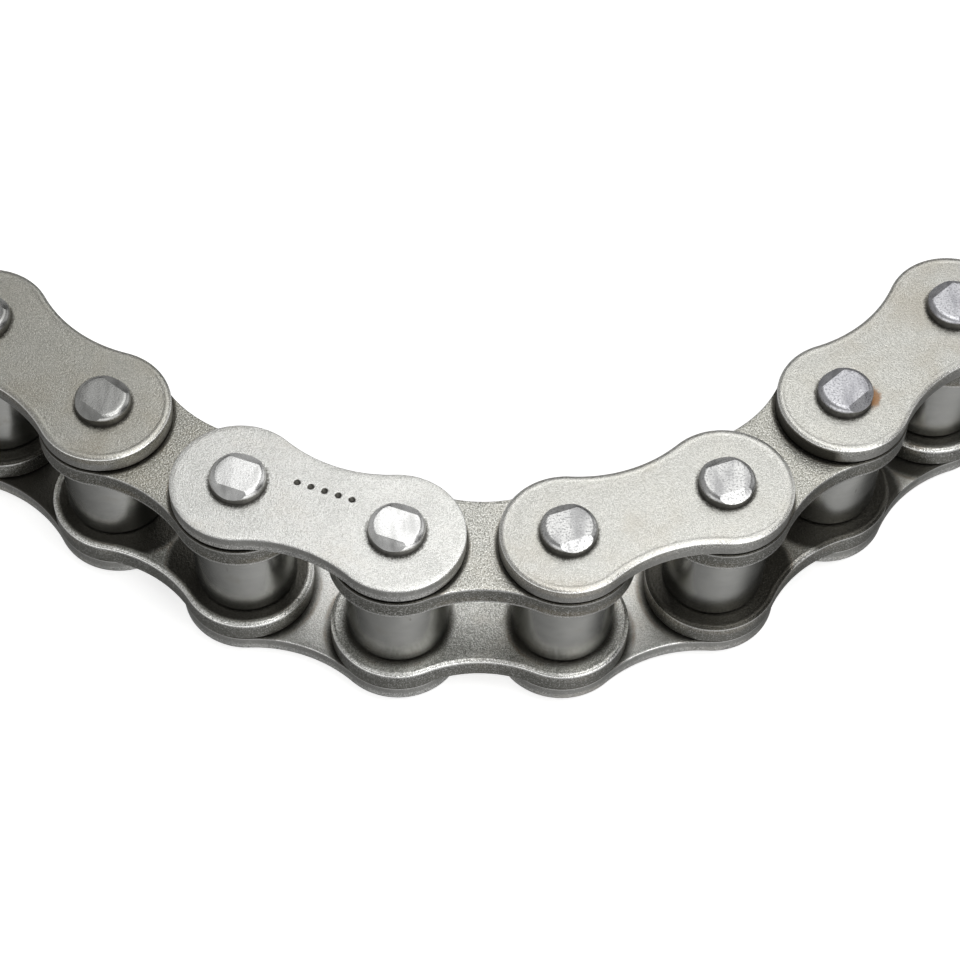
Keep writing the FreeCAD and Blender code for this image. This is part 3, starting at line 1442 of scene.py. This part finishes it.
@dataclass
class Chain:
    """The whole length of chain."""

    layout: Layout
    # Darkening of each link's upper plate: tarnish, and painted shade after how the light falls along
    # the chain.
    tarnish: Tuple[float, ...] = (1.0, 0.90, 0.85, 0.10, 0.62, 0.55, 0.75, 0.62, 0.70)
    # Further reach of the film on each lower plate: oil, and painted shade where the lower plates lie
    # under the upper ones.
    oil_spread: Tuple[float, ...] = (3.0, 5.0, 4.0, 0.0, 0.0, 0.0, 4.0, 2.0, 1.0)
    wiped_links: Tuple[int, ...] = (2, 3)
    marked_link: int = 2
    rusty_link: int = 4
    rust_toward: float = math.radians(-48.0)
    oiled_side: Tuple[float, float] = (math.radians(120.0), math.radians(225.0))
    # Each pin's steel has its own grit; the base tones also differ from pin to pin as painted light,
    # lighter or darker after how brightly each head's flats catch the softboxes.
    pin_steels: Tuple[RivetedSteel, ...] = (
        RivetedSteel(
            "pin_steel_shaded", bright=(0.50, 0.50, 0.485), dull=(0.30, 0.30, 0.29),
            roughness=0.28, grit=0.35,
        ),
        RivetedSteel(
            "pin_steel_lit", bright=(0.86, 0.86, 0.85), dull=(0.55, 0.55, 0.54),
            roughness=0.27, grit=0.5,
        ),
        RivetedSteel(
            "pin_steel_gritty", bright=(0.62, 0.62, 0.61), dull=(0.34, 0.34, 0.34),
            roughness=0.31, grit=1.0,
        ),
        RivetedSteel(
            "pin_steel_coarse", bright=(0.55, 0.55, 0.57), dull=(0.31, 0.31, 0.33),
            roughness=0.33, grit=0.9,
        ),
    )

    def finishes(self) -> Dict[Slot, bpy.types.Material]:
        """Makes the finishes that the links share.

        Returns:
            The materials, by slot.
        """
        sizes = self.layout
        # The films darken each plate around its pivots: oil, and painted shade under the neighbouring
        # plates and at the rollers' feet.
        outer = BlastedSteel(
            Slot.OUTER_PLATE.value, pale=(0.93, 0.93, 0.90), shade=(0.57, 0.57, 0.54),
            inner_oil_and_shade=OilAndShadeFilm(radius=sizes.inner_radius - 0.4 * MM, fade=2.6 * MM),
            outer_oil_and_shade=OilAndShadeFilm(radius=0.0, fade=0.1 * MM),
        )
        inner = BlastedSteel(
            Slot.INNER_PLATE.value, pale=(0.92, 0.92, 0.885), shade=(0.38, 0.38, 0.35),
            inner_oil_and_shade=OilAndShadeFilm(radius=sizes.roller_radius - 0.3 * MM, fade=2.4 * MM, wiped=1.4 * MM),
            outer_oil_and_shade=OilAndShadeFilm(radius=sizes.outer_radius + 0.1 * MM, fade=0.9 * MM),
            burnished=(0.26, 0.258, 0.235), sheared=(0.17, 0.168, 0.15),
            roughness=0.37, sparkle=0.66, relief=0.066 * MM, fine=4900.0, coarse=2600.0,
        )
        return {
            Slot.OUTER_PLATE: outer.build(),
            Slot.INNER_PLATE: inner.build(),
            Slot.ROLLER: OiledRollerSteel().build(),
            Slot.BUSH: GroundBushSteel().build(),
        }

    def build(self) -> None:
        """Builds every link in order along the chain."""
        shared = self.finishes()
        pins = [steel.build() for steel in self.pin_steels]
        for index, (tarnish, spread) in enumerate(zip(self.tarnish, self.oil_spread)):
            number = index // 2 + 1
            common = (self.layout, index, number, tarnish, spread * MM)
            if index % 2 == 0:
                InnerLink(*common, wiped=number in self.wiped_links).build(shared)
                continue
            link = OuterLink(*common, pin_finish=pins[number - 1])
            if number == self.marked_link:
                link.mark = Mark.DOTS
            if number == self.rusty_link:
                link.rust_toward = self.rust_toward
                link.oiled_side = self.oiled_side
            link.build(shared)


# ---------------------------------------------------------------------------------------------
# Studio
# ---------------------------------------------------------------------------------------------


def grey(level: float) -> Colour:
    """A grey of one level."""
    return (level, level, level)


@dataclass
class Softbox:
    """A square area light aimed at the chain. Its glow is how bright its face is."""

    name: str
    toward: Vector
    distance: float
    size: float
    glow: float
    aim: Vector = field(default_factory=lambda: Vector((0.0, -0.01, 0.02)))

    def build(self) -> bpy.types.Object:
        """Makes the light.

        Returns:
            The light's object.
        """
        data = bpy.data.lights.new(self.name, "AREA")
        data.shape = "SQUARE"
        data.size = self.size
        data.energy = self.glow * math.pi * self.size**2
        lamp = bpy.data.objects.new(self.name, data)
        lamp.location = self.aim + self.toward.normalized() * self.distance
        lamp.rotation_euler = self.toward.to_track_quat("Z", "Y").to_euler()
        bpy.context.scene.collection.objects.link(lamp)
        return lamp


@dataclass
class Studio:
    """White board, dim room, softboxes and the camera.

    The room's sky and walls each have a grey level. Its ground has two near levels, on the left and
    on the right, and two far ones, straight down and near the horizon.
    """

    layout: Layout
    floor_half: float = 2.0
    elevation: float = math.radians(55.92)
    roll: float = math.radians(1.885)
    distance: float = 0.38493
    lens: float = 96.86
    sensor: float = 36.0
    clip: float = 0.01
    aim_from_pivot_4: Vector = field(default_factory=lambda: Vector((12.02, 8.81, 17.25)) * MM)
    sky_levels: Tuple[Point2, ...] = ((0.0, 0.07), (0.55, 0.09), (0.80, 0.26), (1.0, 0.50))
    back_wall: float = 0.48
    left_wall: float = 0.42
    right_wall: float = 0.95
    front_wall: float = 1.5
    near_ground: Tuple[float, float] = (0.34, 0.70)
    far_ground: Tuple[float, float] = (0.19, 0.36)

    def build_floor(self) -> None:
        """Lays the board that the pin ends stand on. The metal mirrors the room instead of it."""
        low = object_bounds()[0]
        bm = bmesh.new()
        bmesh.ops.create_grid(bm, x_segments=4, y_segments=4, size=self.floor_half)
        floor = new_piece("white_board", bm, 30.0)
        floor.location.z = low[2]
        floor.data.materials.append(PaleFloor().build())
        floor.visible_glossy = False
        floor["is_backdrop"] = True

    def build_camera(self) -> None:
        """Sets the camera on its stand, looking down on the chain from the front."""
        aim = self.layout.pivots[4][1] + self.aim_from_pivot_4
        back = Vector((0.0, -math.cos(self.elevation), math.sin(self.elevation)))
        right = Vector((1.0, 0.0, 0.0))
        up = back.cross(right)
        across = right * math.cos(self.roll) + up * math.sin(self.roll)
        upward = -right * math.sin(self.roll) + up * math.cos(self.roll)
        data = bpy.data.cameras.new("camera")
        data.lens = self.lens
        data.sensor_width = self.sensor
        data.clip_start = self.clip
        camera = bpy.data.objects.new("camera", data)
        axes = Matrix((across, upward, back)).transposed().to_4x4()
        camera.matrix_world = Matrix.Translation(aim + back * self.distance) @ axes
        bpy.context.scene.collection.objects.link(camera)
        bpy.context.scene.camera = camera

    def build_lights(self) -> None:
        """Hangs one softbox in front, one overhead and one behind, which the flat faces mirror."""
        front, above, behind = (
            Vector(toward) for toward in ((0.42, -0.34, 0.84), (0.14, 0.10, 0.98), (0.11, 0.576, 0.815))
        )
        boxes = (
            Softbox("key_box", toward=front, distance=0.70, size=0.34, glow=3.0),
            Softbox("top_box", toward=above, distance=0.72, size=0.34, glow=2.2),
            Softbox("rear_box", toward=behind, distance=0.712, size=0.40, glow=1.28),
        )
        for box in boxes:
            box.build()

    def build_room(self) -> None:
        """Lights the room: dim at the horizon, paler overhead, and a bright wall in front.

        Further walls are paler on the left, at the back and on the right. The ground is brighter
        on the near side than on the far side.
        """
        world = bpy.data.worlds.new("room")
        world.use_nodes = True
        bpy.context.scene.world = world
        graph = Graph(world.node_tree)
        where = graph.node("ShaderNodeTexCoord", {}, {}).outputs["Generated"]
        axes = graph.node("ShaderNodeSeparateXYZ", {}, {0: where})
        right, far, height = (Signal(graph, axes.outputs[name]) for name in "XYZ")
        stops = [(place, grey(level)) for place, level in self.sky_levels]
        sky = graph.node("ShaderNodeValToRGB", {"stops": stops}, {"Fac": height}).outputs[0]
        back = far.band(0.75, 0.97) * height.band(0.30, 0.05)
        sky = graph.mix(back, sky, grey(self.back_wall))
        sky = graph.mix(right.band(-0.25, -0.45), sky, grey(self.left_wall))
        flank = right.band(0.45, 0.70) * height.band(-0.05, 0.15) * far.band(0.10, 0.30)
        sky = graph.mix(flank, sky, grey(self.right_wall))
        front = far.band(-0.25, -0.65) * height.band(0.68, 0.45)
        sky = graph.mix(front, sky, grey(self.front_wall))
        near = graph.mix(right.band(-0.5, 0.5), *(grey(level) for level in self.near_ground))
        away = graph.mix(height.band(-0.68, -0.45), *(grey(level) for level in self.far_ground))
        ground = graph.mix(far.band(-0.45, 0.10), near, away)
        light = graph.mix(height.band(-0.12, 0.05), ground, sky)
        shader = graph.node("ShaderNodeBackground", {}, {"Color": light, "Strength": 1.0})
        graph.node("ShaderNodeOutputWorld", {}, {"Surface": shader.outputs[0]})

    def build(self) -> None:
        """Builds the floor, camera, lights and room, and keeps whites white."""
        self.build_floor()
        self.build_camera()
        self.build_lights()
        self.build_room()
        bpy.context.scene.view_settings.view_transform = "Standard"


def main() -> None:
    logging.basicConfig(level=logging.INFO, format="%(message)s")
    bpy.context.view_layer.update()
    layout = Layout.from_frame(frame["record"])
    Chain(layout).build()
    Studio(layout).build()


if __name__ == "__main__":
    main()
